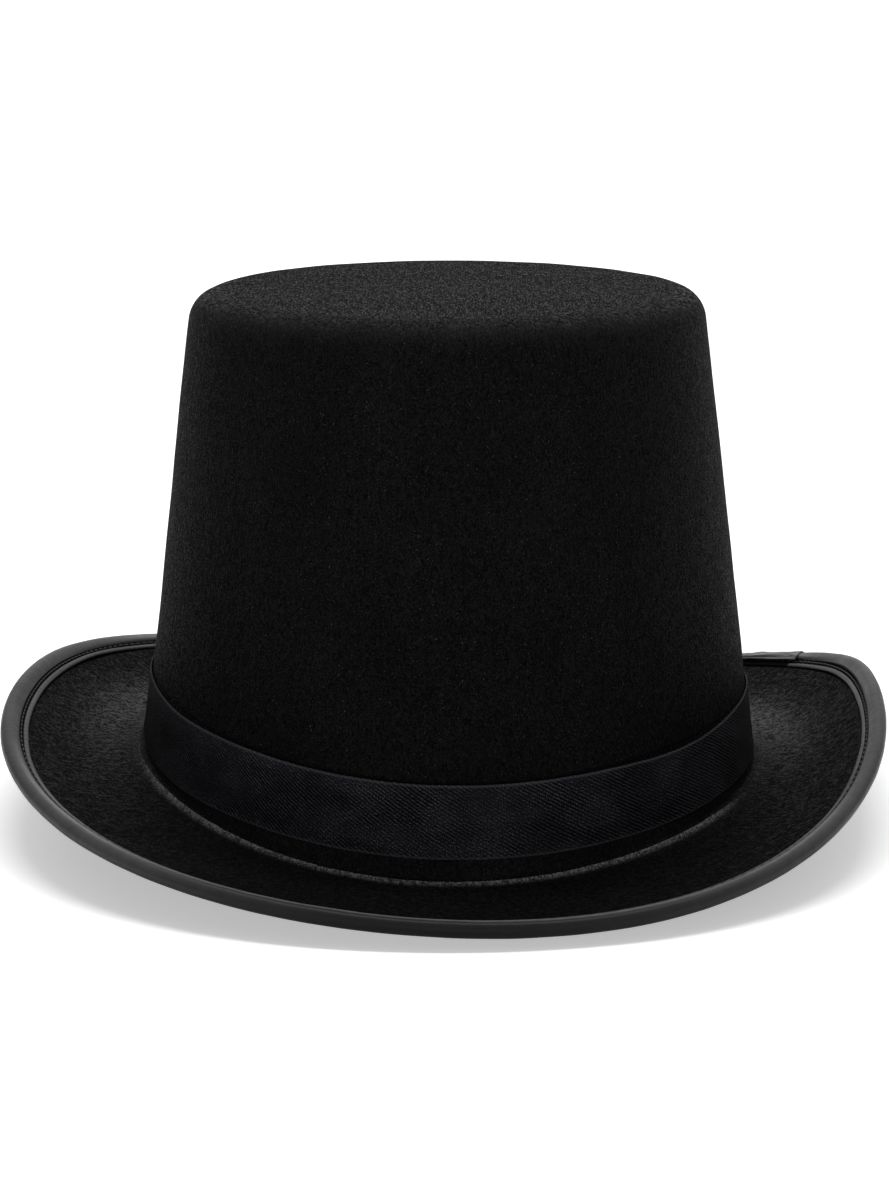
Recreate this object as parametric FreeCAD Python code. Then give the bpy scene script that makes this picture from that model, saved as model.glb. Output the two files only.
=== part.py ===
import FreeCAD, Part
import math
import os

# Black felt top hat. Millimetres, +Z up, +Y towards the back of the hat, +X to
# the viewer's right when the hat is seen from the front. The origin is on the
# floor, under the middle of the hat's outline in plan.

# ---- crown -----------------------------------------------------------------
CROWN_HALF_WIDTH = 90.4       # outside of the felt at BASE_LEVEL, across the head
CROWN_HALF_LENGTH = 103.5     # outside of the felt at BASE_LEVEL, front to back
BASE_LEVEL = 7.4              # height at which those two are measured
CROWN_TAPER = 6.9             # degrees that the wall leans inward
CROWN_TOP = 147.9             # height of the flat tip
TIP_EDGE_RADIUS = 9.0         # outside radius where the wall turns into the tip
FELT_THICKNESS = 2.4

# ---- brim ------------------------------------------------------------------
CREASE_RADIUS = 1.2           # inside radius where the crown turns into the brim
CREASE_LEVEL = 7.9            # mean height of the brim at the crease
CREASE_SADDLE = 5.3           # sides of the crease sit higher than front and back
CREASE_LEAN = 3.1             # the left of the crease sits higher than the right
BRIM_START_ANGLE = -0.9       # degrees, slope of the brim beside the crease
BRIM_WIDTH = 44.8             # mean width along the curve, crease to wire centre
BRIM_WIDTH_SIDES = -3.0       # narrower at the sides than at front and back
BRIM_WIDTH_CORNERS = -2.1     # wider at the four corners
BRIM_WIDTH_RIGHT = 1.1        # wider on the right than on the left
CURL_ANGLE = 28.5             # degrees, mean slope of the brim at its wire
CURL_SIDES = 22.0             # the sides are curled up, front and back are not
CURL_CORNERS = 4.4
CURL_RIGHT = 4.5              # the right side is curled a little more
CURL_THIRD = 5.5              # the right side's curl is concentrated at its middle

# ---- wired edge and its binding ---------------------------------------------
BEAD_RADIUS = 2.2             # outside of the binding round the wire
BEAD_CAVITY_RADIUS = 1.5      # room inside the bead for the wire and its ferrule
WIRE_RADIUS = 0.8
WIRE_END_GAP = 1.0            # between the two ends of the wire, inside the ferrule
FERRULE_RADIUS = 1.3
FERRULE_BORE_RADIUS = 0.95
FERRULE_LENGTH = 8.0
WIRE_JOIN_ANGLE = 78.0        # degrees round from +X: at the back
TAPE_CLEARANCE = 0.1          # between the felt and the binding tape
TAPE_THICKNESS = 0.5          # folded satin tape, flat part
GROOVE_THICKNESS = 0.3        # tape pulled thin under the stitches
GROOVE_FROM_CENTRE = 3.0      # wire centre to the row of stitches
GROOVE_WIDTH = 1.2
LIP_FROM_CENTRE = 5.5         # wire centre to the inner edge of the tape
BEAD_WRAP = 120.0             # degrees that the bead turns round the wire, each way
TAPE_JOIN_ANGLE = 38.0        # degrees round from +X: right of the back
TAPE_OVERLAP = 26.0
TAPE_LAP_THICKNESS = 0.35     # the folded-under end that lies over the start
LAP_RISE = 9.0                # length over which a lapped end climbs over its start

# ---- ribbon round the crown --------------------------------------------------
BAND_WIDTH = 19.8
BAND_THICKNESS = 0.6
BAND_CLEARANCE = 0.15
BAND_LEVEL = 12.3             # mean height of the ribbon's lower edge
BAND_SADDLE = 4.1
BAND_LEAN = 3.0
BAND_OVERLAP = 22.0           # length of the ribbon's lapped end
BAND_JOIN_ANGLE = 97.0        # degrees round from +X: at the back

# ---- inside of the crown -----------------------------------------------------
LINING_THICKNESS = 0.35
LINING_OFFSET = -2.6          # outer face of the lining from the outside of the felt
LINING_BOTTOM = 6.0           # height above the crease
LINING_TIP_DROP = 7.5         # lining tip below the outside of the tip
SWEATBAND_THICKNESS = 0.8
SWEATBAND_OFFSET = -3.5       # outer face of the sweatband from the outside of the felt
SWEATBAND_WIDTH = 28.0
SWEATBAND_BOTTOM = 0.6        # lower edge of the sweatband above the crease
SWEATBAND_OVERLAP = 12.0
SWEATBAND_JOIN_ANGLE = 84.0
LABEL_WIDTH = 22.0
LABEL_HEIGHT = 44.0
LABEL_BOTTOM = 12.0
LABEL_THICKNESS = 0.2
LABEL_OFFSET = -3.1
LABEL_ANGLE = 90.0

# ---- threads -----------------------------------------------------------------
THREAD_RADIUS = 0.22
THREAD_GAP = 0.06             # between a stitch and the cloth under it
EDGE_STITCH_PITCH = 3.4
STITCH_FILL = 0.74            # stitch length as a share of its pitch
SWEATBAND_STITCH_PITCH = 4.5
SWEATBAND_STITCH_HEIGHT = 3.0
TACK_COUNT = 6
TACK_LENGTH = 1.6

# ---- placing -----------------------------------------------------------------
RING_POINTS = 72              # points round each oval ring
CROWN_AXIS_X = 0.571          # the crown stands this far right of the outline's middle
FLOOR_LIFT = 0.058            # puts the lowest felt, under the crease, on the floor

TAPER = math.radians(CROWN_TAPER)
TURN = 2.0 * math.pi


# ---- the hat's surface ---------------------------------------------------------
# A place on the hat is an angle round the oval (phi, 0 at the right, a quarter
# turn at the back), an outward distance h from the base oval, and a height z.

def place(phi, h, z):
    """The point at outward distance h from the base oval and height z."""
    c = math.cos(phi)
    s = math.sin(phi)
    nx = CROWN_HALF_LENGTH * c
    ny = CROWN_HALF_WIDTH * s
    n = math.hypot(nx, ny)
    x = CROWN_HALF_WIDTH * c + h * nx / n
    y = CROWN_HALF_LENGTH * s + h * ny / n
    return FreeCAD.Vector(x + CROWN_AXIS_X, y, z + FLOOR_LIFT)


def wall_h(z):
    return -(z - BASE_LEVEL) * math.tan(TAPER)


def crease_z(phi):
    return CREASE_LEVEL + CREASE_SADDLE * math.cos(2 * phi) - CREASE_LEAN * math.cos(phi)


def band_z(phi):
    return BAND_LEVEL + BAND_SADDLE * math.cos(2 * phi) - BAND_LEAN * math.cos(phi)


def brim_width(phi):
    return (BRIM_WIDTH + BRIM_WIDTH_SIDES * math.cos(2 * phi)
            + BRIM_WIDTH_CORNERS * math.cos(4 * phi) + BRIM_WIDTH_RIGHT * math.cos(phi))


def curl(phi):
    degrees = (CURL_ANGLE + CURL_SIDES * math.cos(2 * phi) + CURL_RIGHT * math.cos(phi)
               + CURL_CORNERS * math.cos(4 * phi) + CURL_THIRD * math.cos(3 * phi))
    return math.radians(degrees)


def wall_point(z, offset):
    """A point of the wall: offset is along its normal, outward from the felt's face."""
    return wall_h(z) + offset * math.cos(TAPER), z + offset * math.sin(TAPER)


def tip_point(angle, offset):
    """A point on the rounded edge of the tip, angle 0 level and 90 straight up."""
    centre_z = CROWN_TOP - TIP_EDGE_RADIUS
    centre_h = wall_h(centre_z) - TIP_EDGE_RADIUS / math.cos(TAPER)
    r = TIP_EDGE_RADIUS + offset
    return centre_h + r * math.cos(angle), centre_z + r * math.sin(angle)


def crease_centre(phi):
    z = crease_z(phi) + CREASE_RADIUS
    return wall_h(z) + CREASE_RADIUS / math.cos(TAPER), z


def crease_point(phi, angle, offset):
    """A point of the hollow crease: angle is the direction of the felt's normal."""
    h, z = crease_centre(phi)
    r = CREASE_RADIUS - offset
    return h - r * math.cos(angle), z - r * math.sin(angle)


def brim_point(phi, distance, offset):
    """A point of the brim, distance along its upper face from the crease."""
    start = math.radians(BRIM_START_ANGLE)
    bend = (curl(phi) - start) / brim_width(phi)
    slope = start + bend * distance
    h, z = crease_point(phi, math.pi / 2 + start, 0.0)
    h += (math.sin(slope) - math.sin(start)) / bend
    z += (math.cos(start) - math.cos(slope)) / bend
    return h - offset * math.sin(slope), z + offset * math.cos(slope)


def edge_point(phi, outward, up):
    """A point by the wired edge: outward from the wire centre, up from mid-felt."""
    return brim_point(phi, brim_width(phi) + outward, up - FELT_THICKNESS / 2)


# ---- solids from rings and strips ------------------------------------------------

def ring(point_at):
    """A smooth closed wire round the hat, through point_at(phi) = (h, z)."""
    points = []
    for i in range(RING_POINTS):
        phi = TURN * i / RING_POINTS
        points.append(place(phi, *point_at(phi)))
    curve = Part.BSplineCurve()
    curve.interpolate(points, PeriodicFlag=True)
    return Part.Wire(curve.toShape())


def solid_of(faces):
    shell = Part.Shell(faces)
    shell.sewShape()
    solid = Part.Solid(shell)
    if solid.Volume < 0:
        solid.reverse()
    return solid


def ring_faces(rings, smooth):
    return Part.makeLoft(rings, False, not smooth).Faces


def closed_ring_solid(profile):
    """A solid ring whose section is the closed polygon of profile's functions."""
    rings = [ring(point_at) for point_at in profile]
    faces = []
    for i in range(len(rings)):
        faces += ring_faces([rings[i - 1], rings[i]], False)
    return solid_of(faces)


def strip_curve(start, length_angle, point_at, shares):
    points = []
    for share in shares:
        phi = start + length_angle * share
        points.append(place(phi, *point_at(phi, share)))
    curve = Part.BSplineCurve()
    curve.interpolate(points)
    return curve.toShape()


def strip_solid(start, length_angle, profile, shares):
    """A solid strip round the hat, open at both ends, with a polygon section.

    profile holds functions point_at(phi, share) = (h, z), where share runs from 0 at
    the first end to 1 at the last end; shares are the stations along the strip.
    """
    curves = [strip_curve(start, length_angle, point_at, shares) for point_at in profile]
    faces = []
    for i in range(len(curves)):
        faces.append(Part.makeRuledSurface(curves[i - 1], curves[i]))
    for end in (0, -1):
        corners = [curve.Vertexes[end].Point for curve in curves]
        faces.append(Part.makeFilledFace(Part.makePolygon(corners + corners[:1]).Edges))
    return solid_of(faces)


def even_shares(count):
    return [i / count for i in range(count + 1)]


class Lap:
    """A strip that goes once round the hat and whose last end lies over its first."""

    def __init__(self, overlap, radius):
        lap_angle = overlap / radius
        self.whole_angle = TURN + lap_angle
        self.lap_start = TURN / self.whole_angle
        self.rise_start = self.lap_start - LAP_RISE / radius / self.whole_angle

    def raised(self, share):
        """0 where the strip lies flat, 1 where it lies over its first end."""
        t = (share - self.rise_start) / (self.lap_start - self.rise_start)
        t = min(max(t, 0.0), 1.0)
        return t * t * (3.0 - 2.0 * t)

    def shares(self):
        """Stations along the strip, closer together where it rises and laps."""
        flat = [self.rise_start * share for share in even_shares(2 * RING_POINTS)]
        rest = [self.rise_start + (1.0 - self.rise_start) * share for share in even_shares(16)]
        return flat + rest[1:]


def lapped_band(bottom_z, width, offset, thickness, join_angle, overlap, inward):
    """A ribbon sewn into a ring by lapping its last end over its first.

    inward is 1 where the lapped end lies towards the head, -1 where it lies outside.
    """
    lap = Lap(overlap, (CROWN_HALF_WIDTH + CROWN_HALF_LENGTH) / 2)
    lift = -inward * (thickness + THREAD_GAP)

    def corner(high, outer):
        def point_at(phi, share):
            z = bottom_z(phi) + (width * math.cos(TAPER) if high else 0.0)
            away = offset + (thickness if outer else 0.0)
            return wall_point(z, away + lift * lap.raised(share))
        return point_at

    profile = [corner(False, False), corner(False, True), corner(True, True), corner(True, False)]
    return strip_solid(math.radians(join_angle), lap.whole_angle, profile, lap.shares())


def stitch(start, end):
    """One straight stitch of thread between two points."""
    along = end - start
    return Part.makeCylinder(THREAD_RADIUS, along.Length, start, along)


def row_of_stitches(point_at, pitch):
    """Stitches laid end to end all the way round, through point_at(phi) = (h, z)."""
    samples = 720
    points = [place(TURN * i / samples, *point_at(TURN * i / samples)) for i in range(samples + 1)]
    length = sum((points[i + 1] - points[i]).Length for i in range(samples))
    count = round(length / pitch)
    stitches = []
    for i in range(count):
        first = TURN * (i + 0.5 - STITCH_FILL / 2) / count
        last = TURN * (i + 0.5 + STITCH_FILL / 2) / count
        stitches.append(stitch(place(first, *point_at(first)), place(last, *point_at(last))))
    return stitches


# ---- the pieces --------------------------------------------------------------------

def felt_body():
    """Crown and brim, moulded from one piece of felt."""
    crease_turn = math.pi / 2 + math.radians(BRIM_START_ANGLE)
    felt_edge = BEAD_CAVITY_RADIUS + TAPE_CLEARANCE

    def tip_rings(offset):
        angles = [math.pi / 2 + (TAPER - math.pi / 2) * share for share in even_shares(5)]
        return [ring(lambda phi, a=a: tip_point(a, offset)) for a in angles]

    def crease_rings(offset):
        angles = [TAPER + (crease_turn - TAPER) * share for share in even_shares(4)]
        return [ring(lambda phi, a=a: crease_point(phi, a, offset)) for a in angles]

    def brim_rings(offset):
        return [ring(lambda phi, k=k: brim_point(phi, k * (brim_width(phi) - felt_edge), offset))
                for k in even_shares(8)]

    outer = [tip_rings(0.0), crease_rings(0.0), brim_rings(0.0)]
    inner = [tip_rings(-FELT_THICKNESS), crease_rings(-FELT_THICKNESS), brim_rings(-FELT_THICKNESS)]
    faces = []
    for tip, crease, brim in (outer, inner):
        faces.append(Part.Face(tip[0]))
        faces += ring_faces(tip, True)
        faces += ring_faces([tip[-1], crease[0]], False)
        faces += ring_faces(crease, True)
        faces += ring_faces([crease[-1]] + brim[1:], True)
    faces += ring_faces([outer[2][-1], inner[2][-1]], False)
    return solid_of(faces)


def hatband():
    return lapped_band(band_z, BAND_WIDTH, BAND_CLEARANCE, BAND_THICKNESS,
                       BAND_JOIN_ANGLE, BAND_OVERLAP, -1)


def hatband_tacks():
    """The stitches that hold down the ribbon's lapped end."""
    mean_radius = (CROWN_HALF_WIDTH + CROWN_HALF_LENGTH) / 2
    phi = math.radians(BAND_JOIN_ANGLE) + (BAND_OVERLAP - 2.0) / mean_radius
    offset = BAND_CLEARANCE + 2 * BAND_THICKNESS + 3 * THREAD_GAP + THREAD_RADIUS
    tacks = []
    for i in range(TACK_COUNT):
        z = band_z(phi) + BAND_WIDTH * (i + 0.5) / TACK_COUNT
        low = place(phi, *wall_point(z - TACK_LENGTH / 2, offset))
        high = place(phi, *wall_point(z + TACK_LENGTH / 2, offset))
        tacks.append(stitch(low, high))
    return Part.makeCompound(tacks)


def tape_line(lip, groove, bead):
    """A line across the folded tape, from its upper inner edge round to the lower one.

    lip and groove are heights from mid-felt, bead is the radius round the wire.
    """
    upper = [(-LIP_FROM_CENTRE, lip), (-GROOVE_FROM_CENTRE - GROOVE_WIDTH / 2, lip),
             (-GROOVE_FROM_CENTRE, groove)]
    lower = [(outward, -up) for outward, up in reversed(upper)]
    wrap = math.radians(BEAD_WRAP)
    angles = [wrap * (1.0 - 2.0 * share) for share in even_shares(12)]
    return upper + [(bead * math.cos(a), bead * math.sin(a)) for a in angles] + lower


def brim_binding():
    """Satin tape folded over the wire and the felt's edge, its end lapped over its start."""
    felt_face = FELT_THICKNESS / 2 + TAPE_CLEARANCE
    lip = felt_face + TAPE_THICKNESS
    groove = felt_face + GROOVE_THICKNESS
    inside = tape_line(felt_face, felt_face, BEAD_CAVITY_RADIUS)
    outside = tape_line(lip, groove, BEAD_RADIUS)
    over = THREAD_GAP
    lap_inside = tape_line(lip + over, groove + over, BEAD_RADIUS + over)
    over += TAPE_LAP_THICKNESS
    lap_outside = tape_line(lip + over, groove + over, BEAD_RADIUS + over)

    _, _, radius = edge_frame(TAPE_JOIN_ANGLE)
    lap = Lap(TAPE_OVERLAP, radius)
    first_end = math.radians(TAPE_JOIN_ANGLE) + lap.whole_angle - TURN

    def corner(flat, raised):
        def point_at(phi, share):
            t = lap.raised(share)
            outward = flat[0] + (raised[0] - flat[0]) * t
            up = flat[1] + (raised[1] - flat[1]) * t
            return edge_point(phi, outward, up)
        return point_at

    flat_section = outside + inside[::-1]
    raised_section = lap_outside + lap_inside[::-1]
    profile = [corner(flat, raised) for flat, raised in zip(flat_section, raised_section)]
    return strip_solid(first_end, -lap.whole_angle, profile, lap.shares())


def binding_stitching():
    """The lockstitch through tape and felt: a row of stitches above and one below."""
    up = FELT_THICKNESS / 2 + TAPE_CLEARANCE + GROOVE_THICKNESS + THREAD_GAP + THREAD_RADIUS
    stitches = []
    for side in (1, -1):
        stitches += row_of_stitches(
            lambda phi, side=side: edge_point(phi, -GROOVE_FROM_CENTRE, side * up), EDGE_STITCH_PITCH)
    return Part.makeCompound(stitches)


def edge_frame(angle):
    """The wire's centre at an angle, the direction along it, and mm per radian there."""
    phi = math.radians(angle)
    step = math.radians(0.5)
    before = place(phi - step, *edge_point(phi - step, 0.0, 0.0))
    after = place(phi + step, *edge_point(phi + step, 0.0, 0.0))
    along = after - before
    radius = along.Length / (2 * step)
    return place(phi, *edge_point(phi, 0.0, 0.0)), along.normalize(), radius


def brim_wire():
    """Steel wire in the brim's edge, its two ends butted inside the ferrule."""
    _, _, radius = edge_frame(WIRE_JOIN_ANGLE)
    gap = WIRE_END_GAP / radius

    def corner(angle):
        return lambda phi, share: edge_point(
            phi, WIRE_RADIUS * math.cos(angle), WIRE_RADIUS * math.sin(angle))

    profile = [corner(TURN * share) for share in even_shares(10)[:-1]]
    start = math.radians(WIRE_JOIN_ANGLE) + gap / 2
    return strip_solid(start, TURN - gap, profile, even_shares(2 * RING_POINTS))


def wire_ferrule():
    """Crimped tube that joins the wire's ends."""
    centre, along, _ = edge_frame(WIRE_JOIN_ANGLE)
    start = centre - along * (FERRULE_LENGTH / 2)
    tube = Part.makeCylinder(FERRULE_RADIUS, FERRULE_LENGTH, start, along)
    bore = Part.makeCylinder(FERRULE_BORE_RADIUS, FERRULE_LENGTH, start, along)
    return tube.cut(bore)


def sweatband():
    bottom = lambda phi: crease_z(phi) + SWEATBAND_BOTTOM
    return lapped_band(bottom, SWEATBAND_WIDTH, SWEATBAND_OFFSET - SWEATBAND_THICKNESS,
                       SWEATBAND_THICKNESS, SWEATBAND_JOIN_ANGLE, SWEATBAND_OVERLAP, 1)


def sweatband_stitching():
    offset = SWEATBAND_OFFSET - 2 * SWEATBAND_THICKNESS - 3 * THREAD_GAP - THREAD_RADIUS

    def point_at(phi):
        return wall_point(crease_z(phi) + SWEATBAND_STITCH_HEIGHT, offset)

    return Part.makeCompound(row_of_stitches(point_at, SWEATBAND_STITCH_PITCH))


def lining_side():
    """Satin lining of the crown's wall, sewn into a tube."""
    top = CROWN_TOP - LINING_TIP_DROP

    def corner(high, outer):
        offset = LINING_OFFSET - (0.0 if outer else LINING_THICKNESS)
        if high:
            return lambda phi: wall_point(top, offset)
        return lambda phi: wall_point(crease_z(phi) + LINING_BOTTOM, offset)

    return closed_ring_solid([corner(False, False), corner(False, True),
                              corner(True, True), corner(True, False)])


def lining_tip():
    """Flat oval of lining under the tip."""
    bottom = CROWN_TOP - LINING_TIP_DROP + TAPE_CLEARANCE
    reach, _ = wall_point(bottom, LINING_OFFSET - TAPE_CLEARANCE)
    oval = Part.Face(ring(lambda phi: (reach, bottom)))
    return oval.extrude(FreeCAD.Vector(0, 0, LINING_THICKNESS))


def care_label():
    """Blank woven label, its lower end caught behind the sweatband."""
    phi = math.radians(LABEL_ANGLE)
    low = crease_z(phi) + LABEL_BOTTOM
    half_angle = LABEL_WIDTH / 2 / CROWN_HALF_WIDTH

    def corner(high, outer):
        z = low + (LABEL_HEIGHT if high else 0.0)
        offset = LABEL_OFFSET - (0.0 if outer else LABEL_THICKNESS)
        return lambda phi, share: wall_point(z, offset)

    profile = [corner(False, False), corner(False, True), corner(True, True), corner(True, False)]
    return strip_solid(phi - half_angle, 2 * half_angle, profile, even_shares(8))


PIECES = [felt_body, hatband, hatband_tacks, brim_binding, binding_stitching, brim_wire,
          wire_ferrule, sweatband, sweatband_stitching, lining_side, lining_tip, care_label]

os.makedirs("parts", exist_ok=True)
for piece in PIECES:
    shape = piece()
    shape.exportStep("parts/" + piece.__name__ + ".step")
    box = shape.BoundBox
    print(piece.__name__, "valid" if shape.isValid() else "NOT VALID", len(shape.Solids), "solids",
          round(shape.Volume / 1000, 2), "cm3",
          [round(v, 2) for v in (box.XMin, box.XMax, box.YMin, box.YMax, box.ZMin, box.ZMax)])
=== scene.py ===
"""Looks of the black felt top hat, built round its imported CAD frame.

The constants are the hat's sizes in millimetres, most of them the CAD part's own.
"""

import math

import bpy
import numpy as np
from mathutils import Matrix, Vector, noise


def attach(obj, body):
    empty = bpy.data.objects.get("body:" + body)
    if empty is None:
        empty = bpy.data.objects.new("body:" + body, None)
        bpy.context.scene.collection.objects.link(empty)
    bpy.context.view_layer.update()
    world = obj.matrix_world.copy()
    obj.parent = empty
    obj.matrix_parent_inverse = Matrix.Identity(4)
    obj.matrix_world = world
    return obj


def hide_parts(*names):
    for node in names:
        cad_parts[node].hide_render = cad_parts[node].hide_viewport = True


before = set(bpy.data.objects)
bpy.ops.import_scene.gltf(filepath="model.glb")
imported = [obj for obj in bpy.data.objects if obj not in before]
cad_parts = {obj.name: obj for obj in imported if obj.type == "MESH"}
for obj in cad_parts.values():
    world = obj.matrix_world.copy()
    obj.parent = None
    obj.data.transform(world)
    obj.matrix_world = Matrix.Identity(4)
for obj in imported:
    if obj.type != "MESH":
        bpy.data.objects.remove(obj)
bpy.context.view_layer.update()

TURN = 2.0 * math.pi
MM = 0.001

CROWN_HALF_WIDTH = 90.4
CROWN_HALF_LENGTH = 103.5
BASE_LEVEL = 7.4
TAPER = math.radians(6.9)
CROWN_TOP = 147.9
TIP_EDGE_RADIUS = 9.0
FELT_THICKNESS = 2.4
CREASE_RADIUS = 1.2
CREASE_LEVEL = 7.9
CREASE_SADDLE = 5.3
CREASE_LEAN = 3.1
BRIM_START = math.radians(-0.9)
CREASE_TURN = math.pi / 2 + BRIM_START
FELT_EDGE = 1.6
BRIM_WIDTH = 44.8
BRIM_WIDTH_SIDES = -3.0
BRIM_WIDTH_CORNERS = -2.1
BRIM_WIDTH_RIGHT = 1.1
CURL_ANGLE = 28.5
CURL_SIDES = 22.0
CURL_CORNERS = 4.4
CURL_RIGHT = 4.5
CURL_THIRD = 5.5
CROWN_AXIS_X = 0.571
FLOOR_LIFT = 0.058
MEAN_RADIUS = (CROWN_HALF_WIDTH + CROWN_HALF_LENGTH) / 2

BAND_LEVEL = 12.3
BAND_SADDLE = 4.1
BAND_LEAN = 3.0
BAND_WIDTH = 19.8
BAND_CLEARANCE = 0.15
BAND_THICKNESS = 0.45
BAND_LIFT = 0.66
BAND_OVERLAP = 22.0
BAND_JOIN = math.radians(97.0)
BAND_TACKS = 6
TWILL_LEAN = math.radians(30.0)
TWILL_PITCH = 0.92

GROOVE = -3.3
BEAD_RADIUS = 2.2
TAPE_JOIN = math.radians(38.0)
TAPE_OVERLAP = 26.0
LAP_RISE = 9.0
LAP_SLANT = 14.0          # the last stretch of the lap, which is cut on a slant
EDGE_RADIUS = 137.0       # mean radius of the brim's edge
BEAD_START = -2.6         # outward of this, the tape goes round the bead
BORE_START = -1.7         # outward of this, its inside does too

THREAD_RADIUS = 0.24
EDGE_STITCH_PITCH = 3.4
STITCH_FILL = 0.74
STITCH_LEVEL = 1.62       # a stitch's height over the middle of the felt

SWEATBAND_OFFSET = -3.5
SWEATBAND_THICKNESS = 0.8
SWEATBAND_WIDTH = 28.0
SWEATBAND_BOTTOM = 0.6
SWEATBAND_OVERLAP = 12.0
SWEATBAND_JOIN = math.radians(84.0)
SWEATBAND_STITCHES = 128
SWEATBAND_STITCH_HEIGHT = 3.0

LINING_OFFSET = -2.6
LINING_THICKNESS = 0.35
LINING_BOTTOM = 6.0
LINING_TOP = CROWN_TOP - 7.5
LABEL_WIDTH = 22.0
LABEL_HEIGHT = 44.0
LABEL_BOTTOM = 12.0
LABEL_OFFSET = -3.1
LABEL_THICKNESS = 0.2


# ---- the hat's surface: an angle round the oval, outward distance h, height z ----

def place(phi, h, z):
    c, s = np.cos(phi), np.sin(phi)
    nx, ny = CROWN_HALF_LENGTH * c, CROWN_HALF_WIDTH * s
    n = np.hypot(nx, ny)
    x = CROWN_HALF_WIDTH * c + h * nx / n + CROWN_AXIS_X
    y = CROWN_HALF_LENGTH * s + h * ny / n
    return np.stack(np.broadcast_arrays(x, y, z + FLOOR_LIFT), -1)


def wall_h(z):
    return -(z - BASE_LEVEL) * math.tan(TAPER)


def crease_z(phi):
    return CREASE_LEVEL + CREASE_SADDLE * np.cos(2 * phi) - CREASE_LEAN * np.cos(phi)


def band_z(phi):
    return BAND_LEVEL + BAND_SADDLE * np.cos(2 * phi) - BAND_LEAN * np.cos(phi)


def brim_width(phi):
    return (BRIM_WIDTH + BRIM_WIDTH_SIDES * np.cos(2 * phi)
            + BRIM_WIDTH_CORNERS * np.cos(4 * phi) + BRIM_WIDTH_RIGHT * np.cos(phi))


def curl(phi):
    degrees = (CURL_ANGLE + CURL_SIDES * np.cos(2 * phi) + CURL_RIGHT * np.cos(phi)
               + CURL_CORNERS * np.cos(4 * phi) + CURL_THIRD * np.cos(3 * phi))
    return np.radians(degrees)


def wall_point(z, offset):
    return wall_h(z) + offset * math.cos(TAPER), z + offset * math.sin(TAPER)


def on_wall(phi, z, *offsets):
    """A layer of points on the crown's wall for each distance out from its surface."""
    return [place(phi, *wall_point(z, offset)) for offset in offsets]


def tip_point(angle, offset):
    centre_z = CROWN_TOP - TIP_EDGE_RADIUS
    centre_h = wall_h(centre_z) - TIP_EDGE_RADIUS / math.cos(TAPER)
    r = TIP_EDGE_RADIUS + offset
    return centre_h + r * math.cos(angle), centre_z + r * math.sin(angle)


def crease_point(phi, angle, offset):
    centre_z = crease_z(phi) + CREASE_RADIUS
    centre_h = wall_h(centre_z) + CREASE_RADIUS / math.cos(TAPER)
    r = CREASE_RADIUS - offset
    return centre_h - r * math.cos(angle), centre_z - r * math.sin(angle)


def brim_point(phi, distance, offset):
    bend = (curl(phi) - BRIM_START) / brim_width(phi)
    slope = BRIM_START + bend * distance
    h, z = crease_point(phi, CREASE_TURN, 0.0)
    h = h + (np.sin(slope) - math.sin(BRIM_START)) / bend
    z = z + (math.cos(BRIM_START) - np.cos(slope)) / bend
    return h - offset * np.sin(slope), z + offset * np.cos(slope)


def edge_point(phi, outward, up):
    return brim_point(phi, brim_width(phi) + outward, up - FELT_THICKNESS / 2)


def smooth_step(low, high, value):
    t = np.clip((value - low) / (high - low), 0.0, 1.0)
    return t * t * (3.0 - 2.0 * t)


def hump(value, centre, spread):
    return np.exp(-((value - centre) / spread) ** 2)


def near(heading, degrees, spread):
    """A hump round one heading."""
    return hump(heading, math.radians(degrees), spread)


def between(heading, start, full, still_full, end):
    """1 between two headings, given in degrees, and fading to 0 outside them."""
    return (smooth_step(math.radians(start), math.radians(full), heading)
            * smooth_step(math.radians(end), math.radians(still_full), heading))


def folded(phi):
    """The heading folded, so that the back of the hat repeats its front."""
    return math.pi + phi % math.pi


def off_side(phi):
    """0 at the very sides, where a folded heading jumps, and 1 away from them."""
    return smooth_step(0.0, 0.3, abs(np.sin(phi)))


def waves(points, scale, seed):
    """Smooth noise from -1 to 1 at points in millimetres."""
    shift = Vector((17.3, 5.1, 29.7)) * seed
    flat = np.asarray(points, float).reshape(-1, 3) / scale
    values = [noise.noise(Vector(p) + shift) for p in flat]
    return np.array(values).reshape(np.shape(points)[:-1])


def round_waves(phi, scale, seed, across=0.0):
    """Smooth noise that runs round the hat and closes on itself."""
    x, y, z = np.broadcast_arrays(MEAN_RADIUS * np.cos(phi), MEAN_RADIUS * np.sin(phi), across)
    return waves(np.stack([x, y, z], -1), scale, seed)


def felt_waves(points):
    """How far the blocked felt wanders from its true shape, in millimetres."""
    return 0.45 * waves(points, 46.0, 1) + 0.16 * waves(points, 15.0, 2)


# ---- meshes ----

def grid_faces(rows, columns, close_rows=False, close_columns=False, first=0):
    i = np.arange(rows if close_rows else rows - 1)
    j = np.arange(columns if close_columns else columns - 1)
    i, j = np.meshgrid(i, j, indexing="ij")
    right = (j + 1) % columns
    below = (i + 1) % rows
    corners = [i * columns + j, i * columns + right, below * columns + right, below * columns + j]
    return np.stack(corners, -1).reshape(-1, 4) + first


def volume(points, faces):
    a, b, c, d = (points[faces[:, k]] for k in range(4))
    halves = np.einsum("ij,ij->i", a, np.cross(b, c)) + np.einsum("ij,ij->i", a, np.cross(c, d))
    return halves.sum() / 6.0


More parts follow.
